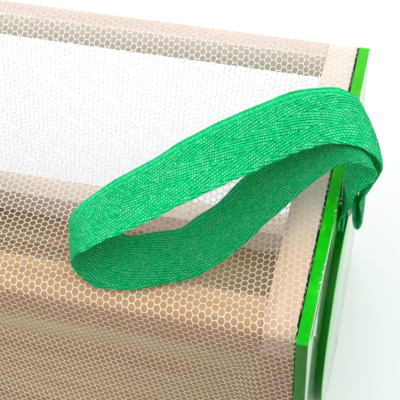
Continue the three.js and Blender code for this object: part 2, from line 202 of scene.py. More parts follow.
# the border along the far selvedge: its ribs, its lines, and where it starts
steep_pitch, line_pitch = 0.00105, 0.0021
border_start, border_full = 0.0082, 0.0086
# how unevenly the stitches lie, across, along over a longer run, and along from one to the next
across_waver, along_drift, along_jitter = 0.0008, 0.0007, 0.0011
# painted shade: the deeper green of the tape's other half, which lies under the first, starts and ends along
# it here
lower_band_shade_start, lower_band_shade_end, lower_band_shade_share = (0.182, 0.2), (0.318, 0.3), 0.56


def make_camera():
    turn, tilt, roll = (math.radians(a) for a in camera_angles)
    level = math.cos(tilt)
    forward = Vector((math.sin(turn) * level, math.cos(turn) * level, -math.sin(tilt)))
    right = Vector((math.cos(turn), -math.sin(turn), 0.0))
    down = forward.cross(right)
    rolled_right = right * math.cos(roll) + down * math.sin(roll)
    rolled_down = down * math.cos(roll) - right * math.sin(roll)
    data = bpy.data.cameras.new("camera")
    data.sensor_width = sensor_width
    data.lens = focal_points / picture_points * sensor_width
    data.clip_start, data.clip_end = nearest_seen, farthest_seen
    camera = new_object("camera", data)
    matrix = Matrix((rolled_right, -rolled_down, -forward)).transposed().to_4x4()
    matrix.translation = Vector(camera_place)
    camera.matrix_world = matrix
    bpy.context.scene.camera = camera


def area_light(name, place, target, size, power, colour):
    data = bpy.data.lights.new(name, "AREA")
    data.shape = "SQUARE"
    data.size = size
    data.energy = power
    data.color = colour
    lamp = new_object(name, data)
    lamp.location = place
    lamp.rotation_mode = "QUATERNION"
    lamp.rotation_quaternion = (Vector(target) - Vector(place)).to_track_quat("-Z", "Y")


def new_object(name, data):
    thing = bpy.data.objects.new(name, data)
    bpy.context.scene.collection.objects.link(thing)
    return thing


class Graph:
    """Adds nodes to a tree that starts empty."""

    def __init__(self, tree):
        self.tree = tree
        tree.nodes.clear()

    def new(self, kind):
        return self.tree.nodes.new("ShaderNode" + kind)

    def put(self, value, socket):
        """Links another node's output, or writes a plain value."""
        if isinstance(value, bpy.types.NodeSocket):
            self.tree.links.new(value, socket)
        else:
            socket.default_value = value

    def filled(self, node, **values):
        for name, value in values.items():
            self.put(value, node.inputs[name.replace("_", " ")])
        return node

    def math(self, operation, *values):
        node = self.new("Math")
        node.operation = operation
        for socket, value in zip(node.inputs, values):
            self.put(value, socket)
        return node.outputs[0]

    def add(self, *values):
        total = values[0]
        for value in values[1:]:
            total = self.math("ADD", total, value)
        return total

    def less(self, a, b):
        return self.math("SUBTRACT", a, b)

    def times(self, a, b):
        return self.math("MULTIPLY", a, b)

    def vector_math(self, operation, *vectors):
        node = self.new("VectorMath")
        node.operation = operation
        for socket, vector in zip(node.inputs, vectors):
            self.put(vector, socket)
        return node.outputs

    def ripple(self, value, rate=full_turn):
        """A wave between 0 and 1, which comes once a unit unless a rate is given."""
        return self.math("MULTIPLY_ADD", self.math("COSINE", self.times(value, rate)), 0.5, 0.5)

    def split(self, vector):
        node = self.new("SeparateXYZ")
        self.put(vector, node.inputs[0])
        return node.outputs[0], node.outputs[1], node.outputs[2]

    def range(self, value, low, high, to_low=0.0, to_high=1.0):
        node = self.new("MapRange")
        node.interpolation_type = "SMOOTHSTEP"
        self.filled(node, Value=value, From_Min=low, From_Max=high, To_Min=to_low, To_Max=to_high)
        return node.outputs["Result"]

    def mix_shaders(self, share, a, b):
        node = self.new("MixShader")
        for socket, value in zip(node.inputs, (share, a, b)):
            self.put(value, socket)
        return node.outputs[0]


class Surface(Graph):
    """A material with one principled shader."""

    def __init__(self, name):
        self.material = bpy.data.materials.new(name)
        self.material.use_nodes = True
        super().__init__(self.material.node_tree)
        self.out = self.new("OutputMaterial")
        self.shader = self.new("BsdfPrincipled")
        self.put(self.shader.outputs[0], self.out.inputs["Surface"])

    def set(self, **values):
        self.filled(self.shader, **values)

    def place(self):
        return self.new("TexCoord").outputs["Object"]

    def uv(self, name):
        node = self.new("UVMap")
        node.uv_map = name
        return node.outputs[0]

    def mapped(self, vector, scale=(1, 1, 1), location=(0, 0, 0)):
        return self.filled(self.new("Mapping"), Vector=vector, Scale=scale, Location=location).outputs[0]

    def noise(self, vector, scale, detail=2.0, rough=0.5, distortion=0.0):
        node = self.new("TexNoise")
        self.filled(node, Vector=vector, Scale=scale, Detail=detail, Roughness=rough, Distortion=distortion)
        return node.outputs["Fac"]

    def ramp(self, value, stops):
        node = self.new("ValToRGB")
        self.put(value, node.inputs[0])
        elements = node.color_ramp.elements
        while len(elements) < len(stops):
            elements.new(0.5)
        for element, (position, colour) in zip(elements, stops):
            element.position = position
            element.color = (*colour, 1.0)
        return node.outputs[0]

    def mix(self, share, a, b):
        """A colour between two, the second of them plain."""
        node = self.new("Mix")
        node.data_type = "RGBA"
        self.put(share, node.inputs["Factor"])
        self.put(a, node.inputs[6])
        self.put((*b, 1.0), node.inputs[7])
        return node.outputs[2]

    def bump(self, height, strength, distance, normal=None):
        node = self.filled(self.new("Bump"), Strength=strength, Distance=distance, Height=height)
        if normal is not None:
            self.put(normal, node.inputs["Normal"])
        return node.outputs[0]

    def let_through(self, share, colour):
        """Lets a share of the light come through from the other side."""
        through = self.filled(self.new("BsdfTranslucent"), Color=colour)
        mixed = self.mix_shaders(share, self.shader.outputs[0], through.outputs[0])
        self.put(mixed, self.out.inputs["Surface"])


def make_world():
    world = bpy.data.worlds.new("world")
    bpy.context.scene.world = world
    world.use_nodes = True
    t = Graph(world.node_tree)
    lean = t.vector_math("DOT_PRODUCT", t.new("TexCoord").outputs["Generated"], sky_direction)["Value"]
    strength = t.range(lean, *sky_lean, *sky_strength)
    lit = t.filled(t.new("Background"), Color=sky_colour, Strength=strength)
    seen = t.filled(t.new("Background"), Color=seen_white, Strength=1.0)
    rays = t.new("LightPath").outputs
    either = t.math("MAXIMUM", rays["Is Camera Ray"], rays["Is Glossy Ray"])
    any_seen = t.math("MAXIMUM", either, rays["Is Transmission Ray"])
    mixed = t.mix_shaders(any_seen, lit.outputs[0], seen.outputs[0])
    t.put(mixed, t.new("OutputWorld").inputs["Surface"])


def make_stage():
    mesh = bpy.data.meshes.new("floor")
    s = floor_reach
    mesh.from_pydata([(-s, -s, 0), (s, -s, 0), (s, s, 0), (-s, s, 0)], [], [(0, 1, 2, 3)])
    floor = new_object("floor", mesh)
    floor.location.z = -floor_drop
    material = bpy.data.materials.new("floor_white")
    material.use_nodes = True
    t = Graph(material.node_tree)
    plain = t.filled(t.new("BsdfDiffuse"), Color=floor_colour)
    glow = t.filled(t.new("Emission"), Color=seen_white, Strength=1.0)
    dull = t.filled(t.new("BsdfDiffuse"), Color=floor_bounce)
    rays = t.new("LightPath").outputs
    either = t.math("MAXIMUM", rays["Is Camera Ray"], rays["Is Glossy Ray"])
    seen = t.mix_shaders(t.times(either, floor_glow_share), plain.outputs[0], glow.outputs[0])
    mixed = t.mix_shaders(rays["Is Diffuse Ray"], seen, dull.outputs[0])
    t.put(mixed, t.new("OutputMaterial").inputs["Surface"])
    mesh.materials.append(material)


def srgb(r, g, b):
    """The linear colour of an sRGB one given from 0 to 255."""
    out = []
    for v in (r, g, b):
        v /= 255.0
        out.append(v / 12.92 if v <= 0.04045 else ((v + 0.055) / 1.055) ** 2.4)
    return tuple(out)


def drawn_out(rates, run):
    """Scales for a pattern that is drawn out along one axis."""
    scales = [rates[0]] * 3
    scales[run] = rates[1]
    return tuple(scales)


def wood_material(name, run, tones, seed, painted_light=None, gap_shade=True):
    """Planed wood whose grain runs along an axis: 0, 1 or 2. The optional paler tone is painted light: its
    tone, the
    Y where it starts, the Y where it is full, and how strong it gets. The optional dark line where the wood
    meets a panel is painted shade of the gap there, and the front faces are darkened as painted shade."""
    g = Surface(name)
    pale, mid, dark = tones
    place = g.place()
    coords = g.mapped(place, location=(seed, seed * 0.7, seed * 1.3))
    grain_at = g.mapped(coords, scale=drawn_out(grain_rates, run))
    grain = g.noise(grain_at, 1.0, detail=4.0, rough=0.6, distortion=0.4)
    band_at = g.mapped(coords, scale=drawn_out(band_rates, run))
    bands = g.noise(band_at, 1.0, distortion=0.6)
    pores = g.noise(g.mapped(coords, scale=drawn_out(pore_rates, run)), 1.0)
    both = g.add(g.times(grain, 0.55), g.times(bands, 0.45))
    colour = g.ramp(both, [(0.3, dark), (0.48, mid), (0.68, pale)])
    colour = g.mix(g.range(pores, 0.62, 0.75, 0.0, 0.35), colour, tuple(c * 0.6 for c in mid))
    x, y, _ = g.split(place)
    # a paler tone painted on as light
    if painted_light:
        tone, start, end, most = painted_light
        colour = g.mix(g.range(y, start, end, 0.0, most), colour, tone)
    # painted shade on the front faces
    front = g.range(y, front_shade_from, front_shade_to, 0.0, front_shade_share)
    colour = g.mix(front, colour, srgb(138, 98, 72))
    # painted shade of the gap where the wood meets a panel
    if gap_shade:
        at = g.add(g.math("ABSOLUTE", x), g.times(g.less(pores, 0.5), gap_shade_waver))
        colour = g.mix(g.range(at, gap_shade_start, gap_shade_full), colour, srgb(16, 20, 10))
    g.set(Base_Color=colour, Roughness=g.range(grain, 0.2, 0.8, 0.55, 0.72), Specular_IOR_Level=0.25)
    g.set(Normal=g.bump(g.add(grain, g.times(pores, 0.5)), 0.25, 0.0003))
    return g.material


def lacquer_material(name, is_panel):
    """Thick glossy paint: clouded, a little wavy, yellower in random patches, paler towards the back as
    painted light, darker on the front edge and the cover's round edge as painted shade, and chipped along
    the panels' edges. The outward faces are polished, the edges are not."""
    g = Surface(name)
    coords = g.place()
    x, y, z = g.split(coords)
    cloud = g.noise(coords, 130.0, detail=3.0, rough=0.6)
    patches = g.noise(g.mapped(coords, scale=(1.0, 0.5, 0.5)), 260.0, rough=0.6)
    base = g.ramp(cloud, [(0.3, srgb(0, 182, 8)), (0.55, srgb(10, 200, 14)), (0.75, srgb(40, 214, 20))])
    # yellower in random patches
    colour = g.mix(g.range(patches, 0.58, 0.72, 0.0, 0.5), base, srgb(110, 222, 20))
    # painted light: paler towards the back
    colour = g.mix(g.range(y, *back_painted_light), colour, srgb(96, 212, 48))
    if is_panel:
        out = g.math("ABSOLUTE", x)
        near_out = g.range(out, panel_high.x - chip_from_face, panel_high.x - chip_whole)
        near_front = g.range(y, panel_low.y + chip_from_edge, panel_low.y + chip_whole)
        near_top = g.range(z, panel_high.z - chip_from_edge, panel_high.z - chip_whole)
        specks = g.noise(g.mapped(coords, scale=(1.0, 0.6, 0.8)), 900.0, detail=3.0, rough=0.7)
        large = g.noise(coords, 60.0, detail=1.0)
        worn = g.times(g.range(specks, 0.52, 0.6), g.range(large, 0.48, 0.62))
        worn = g.times(worn, g.times(near_out, g.math("MAXIMUM", near_front, near_top)))
        colour = g.mix(worn, colour, srgb(232, 240, 196))
        # painted shade: the front edge is a darker, duller green
        front_edge_shade = g.range(y, panel_low.y + front_shade_reach, panel_low.y, 0.0, 0.72)
        colour = g.mix(front_edge_shade, colour, srgb(48, 72, 42))
        face = g.range(out, panel_high.x - polish_start, panel_high.x - polish_full)
        # painted shade: no polish behind the tape, so that no white is reflected in the tape's shadow
        behind = g.times(g.range(g.math("ABSOLUTE", y), *tape_shade_y), g.range(z, *tape_shade_z))
        behind = g.times(behind, g.range(x, *tape_shade_x))
        face = g.times(face, g.less(1.0, behind))
    else:
        # painted shade: the cover's round edge is darker than its face
        rim_shade = g.range(x, cover_high.x - rim_shade_start, cover_high.x - rim_shade_full)
        colour = g.mix(g.times(rim_shade, rim_shade_share), colour, srgb(0, 70, 6))
        face = g.range(x, cover_high.x - polish_start, cover_high.x - polish_full)
    g.set(Base_Color=colour, Roughness=0.28, Coat_Roughness=0.1)
    g.set(Specular_IOR_Level=g.math("MULTIPLY_ADD", face, 0.5, 0.1))
    g.set(Coat_Weight=g.math("MULTIPLY_ADD", face, 0.98, 0.02))
    height = g.add(g.noise(coords, 90.0), g.times(g.noise(coords, 900.0, rough=0.6), 0.12))
    g.set(Normal=g.bump(height, 0.3, 0.0006))
    return g.material


def net_material():
    """Pale thread, warmer in front and whiter towards the back as painted light, that lets some light
    through.
    """
    g = Surface("net_thread")
    coords = g.place()
    _, y, _ = g.split(coords)
    both = g.add(g.times(g.noise(coords, 1500.0, rough=0.6), 0.6), g.times(g.noise(coords, 60.0), 0.4))
    tones = [(0.3, srgb(246, 228, 214)), (0.5, srgb(252, 238, 226)), (0.7, srgb(255, 248, 240))]
    # painted light: whiter towards the back
    colour = g.mix(g.range(y, *net_painted_light), g.ramp(both, tones), srgb(255, 255, 255))
    g.set(Base_Color=colour, Roughness=0.8, Specular_IOR_Level=0.2)
    # the threads are round, so they catch the light from above however the net hangs
    lifted = g.vector_math("ADD", g.new("NewGeometry").outputs["Normal"], thread_lift)[0]
    round_normal = g.vector_math("NORMALIZE", lifted)[0]
    g.set(Normal=g.bump(g.noise(coords, 4500.0), 0.5, 0.0001, round_normal))
    # the back net is seen against the light
    g.let_through(g.range(y, *net_through), colour)
    return g.material


def tape_material():
    """Cotton herringbone: lengthwise stripes whose ribs lean one way and then the other, each rib a row of
    short stitches, bright on top and dark between as painted highlight and painted shade, with a narrow
    steep stripe along the far selvedge. The UV map holds metres along and across."""
    g = Surface("herringbone_tape")
    along, across, _ = g.split(g.uv("cloth"))
    coords = g.place()
    # no two stitches lie quite alike
    waver = g.less(g.noise(coords, 300.0), 0.5)
    drift = g.less(g.noise(g.mapped(coords, location=(3, 1, 2)), 340.0), 0.5)
    jitter = g.less(g.noise(coords, 1100.0, rough=0.6), 0.5)
    across = g.add(across, g.times(waver, across_waver))
    loose = g.add(along, g.times(drift, along_drift), g.times(jitter, along_jitter))
    patches = g.range(g.noise(coords, 260.0, rough=0.6), 0.35, 0.65, 0.35, 0.85)
    fold = g.math("PINGPONG", g.add(across, stripe_offset), stripe)
    ridge = g.ripple(g.math("DIVIDE", g.add(fold, g.times(loose, rib_lean)), rib))
    bead = g.ripple(g.add(g.math("DIVIDE", loose, stitch), g.times(across, 0.6 / rib)))
    main = g.add(g.times(ridge, 0.3), g.times(g.times(bead, ridge), patches))
    steep = g.ripple(g.math("DIVIDE", g.add(loose, g.times(across, 0.9)), steep_pitch))
    line = g.ripple(across, full_turn / line_pitch)
    border = g.times(g.add(g.times(steep, 0.6), 0.25), g.add(g.times(line, 0.6), 0.4))
    at_border = g.range(across, border_start, border_full)
    weave = g.add(g.times(main, g.less(1.0, at_border)), g.times(border, at_border))
    yarn = g.noise(coords, 2400.0, detail=3.0, rough=0.7)
    fuzz = g.noise(coords, 1000.0, rough=0.6)
    slow = g.noise(coords, 50.0)
    tone = g.add(g.times(weave, 0.6), g.times(fuzz, 0.62), g.times(slow, 0.14))
    # painted highlight and painted shade: stitches bright on top and dark between, with random tone
    colour = g.ramp(tone, [
        (0.30, srgb(0, 138, 62)),
        (0.48, srgb(0, 206, 116)),
        (0.70, srgb(2, 240, 146)),
        (0.95, srgb(150, 255, 214)),
    ])
    # painted shade: the tape's other half, which lies under the first, is a deeper green up to where it
    # turns down to the screw
    lower_band_shade = g.times(g.range(along, *lower_band_shade_start), g.range(along, *lower_band_shade_end))
    colour = g.mix(g.times(lower_band_shade, lower_band_shade_share), colour, srgb(0, 112, 48))
    g.set(Base_Color=colour, Roughness=0.9, Specular_IOR_Level=0.1)
    g.set(Sheen_Weight=0.08, Sheen_Roughness=0.5, Sheen_Tint=(*srgb(120, 240, 180), 1.0))
    g.set(Normal=g.bump(g.add(weave, g.times(yarn, 0.35)), 0.9, 0.00035))
    g.let_through(0.12, colour)
    return g.material


def steel_material():
    g = Surface("steel")
    coords = g.place()
    tone = g.noise(coords, 700.0, detail=3.0, rough=0.6)
    colour = g.ramp(tone, [(0.3, srgb(150, 152, 156)), (0.7, srgb(205, 207, 210))])
    g.set(Base_Color=colour, Metallic=1.0, Roughness=g.range(tone, 0.3, 0.7, 0.25, 0.45))
    g.set(Normal=g.bump(g.noise(coords, 2500.0), 0.15, 0.0001))
    return g.material


def smooth(mesh, degrees):
    mesh.shade_smooth()
    mesh.set_sharp_from_angle(angle=math.radians(degrees))


def dressed(node, material, segments=2, body="cage"):
    """A copy of a CAD node with its hard edges rounded off, standing for the node."""
    mesh = nodes[node].data.copy()
    mesh.name = node + "_look"
    bm = bmesh.new()
    bm.from_mesh(mesh)
    bmesh.ops.remove_doubles(bm, verts=bm.verts, dist=1e-6)
    bmesh.ops.dissolve_limit(bm, angle_limit=math.radians(flat_angle), verts=bm.verts, edges=bm.edges)
    least = math.radians(hard_angle)
    hard = [e for e in bm.edges if len(e.link_faces) == 2 and e.calc_face_angle(0.0) > least]
    bmesh.ops.bevel(bm, geom=hard, offset=edge_bevel, segments=segments, profile=0.5, affect="EDGES",
                    clamp_overlap=True)
    bmesh.ops.triangulate(bm, faces=[f for f in bm.faces if len(f.verts) > 4])
    bm.to_mesh(mesh)
    bm.free()
    mesh.materials.clear()
    mesh.materials.append(material)
    smooth(mesh, smooth_angle)
    piece = new_object(node + "_look", mesh)
    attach(piece, body)
    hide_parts(node)
    return piece


def net_route():
    """The net's cross-section in Y and Z, up the back, over the top and down the front, and how far along it
    each point lies."""
    back = back_net_low.y + net_lift
    front = front_net_high.y - net_lift
    top = top_net_low.z + net_lift
    low = back_net_low.z + net_foot_gap
    points = [(back, low), (back, top - back_bend)]
    for k in range(1, back_steps + 1):
        a = math.pi / 2 * k / back_steps
        points.append((back - back_bend + back_bend * math.cos(a),
                       top - back_bend + back_bend * math.sin(a)))
    points.append((front + front_bend, top))
    for k in range(1, front_steps + 1):
        a = math.pi / 2 * k / front_steps
        points.append((front + front_bend - front_bend * math.sin(a),
                       top - front_bend + front_bend * math.cos(a)))
    points.append((front, low))
    points = np.array(points)
    steps = np.linalg.norm(np.diff(points, axis=0), axis=1)
    return points, np.concatenate([[0.0], np.cumsum(steps)])


def make_net(material):
    """Hexagons from lattice points with a rounded hole in each; the threads are roofs between holes."""
    points, places = net_route()
    length = places[-1]
    half = top_net_high.x
    dx, dy = cell_across, cell_along
    skew = math.radians(net_turn)
    # hexagon corners round a cell's middle: flat sides across the rows
    flat = dx * flat_share
    side = dx * point_share
    corner = np.array([
        (side, 0.0), (flat, dy / 2), (-flat, dy / 2), (-side, 0.0), (-flat, -dy / 2), (flat, -dy / 2),
    ])
    rng = np.random.default_rng(7)
    n_u = int(net_reach / dx) + 2
    n_v = int(net_reach / dy) + 2
    u_index, v_index = np.meshgrid(np.arange(-n_u, n_u + 1), np.arange(-n_v, n_v + 1))
    cu = u_index.ravel() * dx
    cv = (v_index.ravel() + 0.5 * (u_index.ravel() % 2)) * dy

    def place(u, v):
        """Turned a little against the frame, and with the length measured from the sheet's middle."""
        c, s = math.cos(skew), math.sin(skew)
        return u * c - v * s, u * s + v * c + length / 2

    pu, pv = place(cu, cv)
    keep = (np.abs(pu) < half - cut_margin) & (pv > end_margin) & (pv < length - end_margin)
    cu, cv = cu[keep], cv[keep]
    count = len(cu)
    outer_u = cu[:, None] + corner[None, :, 0]
    outer_v = cv[:, None] + corner[None, :, 1]
    # the hole's outline: pulled in from the corners and from the sides' middles
    mids = (corner + np.roll(corner, -1, axis=0)) / 2
    length_c = np.linalg.norm(corner, axis=1)
    length_m = np.linalg.norm(mids, axis=1)
    inner = np.empty((12, 2))
    inner[0::2] = corner * ((length_c - corner_pull * thread) / length_c)[:, None]
    inner[1::2] = mids * ((length_m - side_pull * thread) / length_m)[:, None]
    inner_u = cu[:, None] + inner[None, :, 0]
    inner_v = cv[:, None] + inner[None, :, 1]
    # shared lattice corners, each nudged a little so that no two cells are alike
    key_u = np.round(outer_u / (dx * 0.01)).astype(np.int64)
    key_v = np.round(outer_v / (dy * 0.01)).astype(np.int64)
    keys = np.stack([key_u.ravel(), key_v.ravel()], axis=1)
    _, first, inverse = np.unique(keys, axis=0, return_index=True, return_inverse=True)
    shared_u = outer_u.ravel()[first] + rng.normal(0, nudge, len(first))
    shared_v = outer_v.ravel()[first] + rng.normal(0, nudge, len(first))
    outer_index = inverse.ravel().reshape(count, 6)
    inner_index = len(first) + np.arange(count * 12).reshape(count, 12)
    all_u = np.concatenate([shared_u, inner_u.ravel()])
    all_v = np.concatenate([shared_v, inner_v.ravel()])
    raised = np.concatenate([np.full(len(first), thread_height), np.zeros(count * 12)])
    pu, pv = place(all_u, all_v)
    # the cut sides are ragged
    ragged = ragged_depth + ragged_depth * np.sin(pv / ragged_fine) * np.sin(pv / ragged_slow + 1.0)
    pu = np.clip(pu, ragged - half, half - ragged)
    pv = np.clip(pv, 0.0, length)

    # along the route, and raised square to it
    y = np.interp(pv, places, points[:, 0])
    z = np.interp(pv, places, points[:, 1])
    ahead, behind = pv + slope_step, pv - slope_step
    ty = np.interp(ahead, places, points[:, 0]) - np.interp(behind, places, points[:, 0])
    tz = np.interp(ahead, places, points[:, 1]) - np.interp(behind, places, points[:, 1])
    norm = np.hypot(ty, tz)
    ny, nz = tz / norm, -ty / norm
    slack = net_slack(pu, y, z)
    y = y + ny * (raised + slack)
    z = z + nz * (raised + slack)
    verts = np.stack([pu, y, z], axis=1)

    faces = []
    for k in range(6):
        a = outer_index[:, k]
        b = outer_index[:, (k + 1) % 6]
        ca = inner_index[:, 2 * k]
        m = inner_index[:, 2 * k + 1]
        cb = inner_index[:, (2 * k + 2) % 12]
        faces.append(np.stack([a, m, ca], axis=1))
        faces.append(np.stack([a, b, m], axis=1))
        faces.append(np.stack([b, cb, m], axis=1))
    tris = np.concatenate(faces)
    mesh = bpy.data.meshes.new("net")
    mesh.vertices.add(len(verts))
    mesh.vertices.foreach_set("co", verts.astype(np.float32).ravel())
    mesh.loops.add(len(tris) * 3)
    mesh.loops.foreach_set("vertex_index", tris.astype(np.int32).ravel())
    mesh.polygons.add(len(tris))
    mesh.polygons.foreach_set("loop_start", np.arange(0, len(tris) * 3, 3, dtype=np.int32))
    mesh.polygons.foreach_set("loop_total", np.full(len(tris), 3, dtype=np.int32))
    mesh.update(calc_edges=True)
    mesh.validate()
    mesh.shade_smooth()
    mesh.materials.append(material)
    piece = new_object("net_wrap", mesh)
    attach(piece, "cage")
    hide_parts("top_net", "front_net", "back_net")
    return piece


def net_slack(x, y, z):
    """How far the net stands out of its route: it sags between the roof's bars, and below the front top bar
    it leans in as far as a crease, then hangs nearly plumb down to the foot."""
    from_front = np.clip(y - front_bar_high.y, 0, None)
    from_back = np.clip(back_bar_low.y - y, 0, None)
    across = np.abs(x)
    from_end = np.clip(end_bar_low.x - across, 0, None)
    sag = np.interp(from_front, sag_inward, sag_deep)
    sag = sag * np.interp(from_back, sag_inward, sag_deep / sag_deep[-1])
    sag = sag * (1 - np.exp(-from_end / sag_end_fade))
    sag = np.where(z > front_bar_high.z - roof_margin, sag, 0.0)

    below = np.clip(front_bar_low.z - z, 0, None)
    crease = np.interp(across, crease_across, crease_below)
    tuck = np.interp(below / crease, lean_shares, lean_in) * crease / crease_common
    past = np.clip(below - crease, 0, None)
    to_side = np.clip((across - side_start) / side_span, 0, 1)
    tuck = tuck + np.interp(past, past_drop, middle_in) * (1 - to_side)
    tuck = tuck + np.interp(past, past_drop, side_in) * to_side
    near_post = np.clip((end_bar_low.x - across) / post_fade, 0, 1)
    near_post = near_post * near_post * (3 - 2 * near_post)
    near_foot = np.clip((z - front_foot_high.z) / foot_fade, 0, 1)
    wave = 0.9 * np.sin(x * 41.0 + z * 23.0 + 0.6) + 0.7 * np.sin(x * 83.0 - z * 51.0 + 2.1)
    wave = front_wave * wave * np.clip(below / wave_fade, 0, 1)
    front = (wave - tuck) * near_post * near_foot
    return np.where(y < front_net_high.y + front_margin, front, 0.0) - sag


# The tape from one cut end to the other, in panel thicknesses from the panel's front top edge: its near
# selvedge and its far one, each out, back and up, and how far its middle bows out of the line between
tape_rows = [
    ((0.50, 15.6, -4.9), (0.50, 19.0, -5.0), (0, 0, 0)),
    ((0.52, 15.7, -4.2), (0.52, 19.0, -4.2), (0, 0, 0)),
    ((0.56, 15.8, -3.0), (0.56, 19.0, -3.0), (0, 0, 0)),
    ((0.60, 16.0, -1.9), (0.60, 19.0, -1.9), (0, 0, 0)),
    ((0.72, 16.2, -1.15), (0.70, 19.0, -1.15), (0, 0, 0)),
    ((0.95, 16.35, -1.0), (0.95, 19.0, -1.0), (0, 0, 0)),
    ((1.10, 16.4, -1.5), (1.10, 19.0, -1.6), (0.15, 0, 0)),
    ((1.22, 16.4, -2.8), (1.05, 19.0, -2.9), (0.30, 0, 0)),
    ((1.36, 16.4, -4.2), (1.05, 19.0, -4.2), (0.22, 0, 0)),
    ((1.55, 16.4, -4.95), (1.10, 19.0, -4.7), (0.15, 0, 0)),
    ((1.80, 16.4, -5.2), (1.25, 19.0, -4.8), (0.15, 0, 0)),
    ((2.02, 16.4, -4.7), (1.42, 19.0, -4.3), (0.15, 0, 0)),
    ((2.07, 16.4, -3.9), (1.50, 19.1, -3.4), (0.20, 0, 0)),
    ((2.00, 16.3, -2.6), (1.58, 19.4, -2.3), (0.25, 0, 0)),
    ((1.85, 16.0, -1.2), (1.65, 19.9, -1.2), (0.25, 0, 0)),
    ((2.05, 15.7, 0.2), (1.65, 20.4, -0.2), (0.15, 0, 0)),
    ((2.40, 15.5, 1.4), (1.60, 20.9, 0.5), (0.1, 0, 0)),
    ((2.80, 15.4, 2.6), (1.50, 21.1, 1.6), (0.15, 0, 0)),
    ((3.25, 15.3, 4.0), (1.50, 21.1, 3.0), (0.2, 0, 0.1)),
    ((3.45, 15.2, 5.0), (1.35, 21.0, 4.3), (0.25, 0, 0.2)),
    ((3.15, 15.25, 5.8), (1.00, 21.1, 5.5), (0.2, 0, 0.2)),
    ((2.60, 15.3, 6.45), (0.55, 21.2, 6.35), (0.1, 0, 0.15)),
    ((1.90, 15.35, 6.95), (0.00, 21.3, 7.05), (0, 0, 0.1)),
    ((1.00, 15.4, 7.25), (-0.80, 21.3, 7.45), (0, 0, 0.05)),
    ((0.10, 15.4, 7.3), (-1.50, 21.4, 7.55), (0, 0, 0)),
    ((-1.20, 15.2, 7.15), (-3.00, 21.0, 7.7), (0, 0, 0)),
    ((-2.50, 14.6, 7.0), (-4.90, 20.2, 7.7), (0, 0, 0)),
    ((-5.70, 13.0, 6.1), (-8.90, 18.3, 6.5), (0, 0, 0.05)),
    ((-9.00, 10.7, 5.4), (-12.70, 15.7, 5.4), (0, 0, 0.08)),
    ((-12.30, 8.1, 4.8), (-16.10, 13.0, 4.3), (0, 0, 0.1)),
    ((-15.10, 5.9, 4.3), (-18.80, 10.8, 3.5), (0, 0, 0.1)),
    ((-17.70, 4.2, 3.8), (-20.95, 9.2, 2.2), (0, 0, 0.1)),
    ((-19.20, 3.35, 3.2), (-21.85, 8.55, 1.3), (0, 0, 0.1)),
    ((-20.00, 3.1, 2.55), (-22.30, 8.35, 0.5), (-0.05, 0, 0.05)),
    ((-20.35, 3.0, 1.85), (-22.20, 8.35, -0.1), (-0.1, 0, 0)),
    ((-20.40, 3.0, 1.15), (-21.45, 8.6, -0.45), (-0.1, 0, 0)),
    ((-20.10, 2.85, 0.55), (-20.05, 8.8, -0.55), (0, 0, 0)),
    ((-19.30, 2.4, 0.38), (-18.35, 8.5, -0.5), (0, 0, 0)),
    ((-18.00, 1.9, 0.36), (-17.10, 8.0, -0.35), (0, 0, 0)),
    ((-15.50, 2.1, 0.38), (-16.40, 8.05, -0.1), (0, 0, 0.05)),
    ((-12.40, 3.2, 0.5), (-14.40, 8.75, 0.15), (0, 0, 0.1)),
    ((-9.80, 4.2, 1.1), (-12.80, 9.15, 0.4), (0, 0, 0)),
    ((-7.80, 6.0, 1.75), (-11.90, 10.4, 0.4), (0, 0, -0.1)),
    ((-6.30, 7.8, 2.45), (-10.20, 12.2, 0.75), (0, 0, -0.1)),
    ((-4.90, 9.5, 3.3), (-8.20, 14.6, 2.0), (0, 0, -0.1)),
    ((-3.40, 11.0, 4.3), (-6.00, 16.4, 3.0), (0, 0, -0.1)),
    ((-0.90, 12.9, 6.25), (-3.20, 18.3, 4.7), (0, 0, -0.1)),
    ((0.20, 13.1, 7.1), (-1.60, 18.8, 5.5), (0, 0, -0.1)),
    ((1.10, 13.2, 7.45), (-0.40, 19.0, 5.6), (0, 0, -0.1)),
    ((1.95, 13.3, 7.4), (0.50, 19.1, 5.4), (0, 0, -0.1)),
    ((2.65, 13.4, 7.0), (0.95, 19.1, 4.9), (-0.05, 0, -0.1)),
    ((3.05, 13.6, 6.3), (1.10, 19.2, 4.2), (-0.1, 0, -0.05)),
    ((3.10, 13.8, 5.55), (1.05, 19.4, 3.5), (-0.2, 0, 0)),
    ((2.80, 14.0, 4.65), (0.80, 19.6, 2.75), (-0.35, 0, 0)),
    ((2.35, 14.3, 3.6), (0.50, 19.8, 2.0), (-0.5, 0, 0)),
    ((1.75, 14.6, 2.4), (0.20, 19.4, 1.2), (-0.45, 0, 0)),
    ((1.35, 14.9, 0.9), (0.12, 18.6, 0.3), (-0.3, 0, 0)),
    ((1.07, 15.2, -0.9), (0.20, 18.3, -1.2), (-0.25, 0, 0)),
    ((0.55, 15.4, -2.2), (0.20, 18.3, -2.4), (-0.08, 0, 0)),
    ((0.25, 15.5, -3.2), (0.20, 18.3, -3.3), (0, 0, 0)),
    ((0.20, 15.5, -4.6), (0.20, 18.3, -4.6), (0, 0, 0)),
]


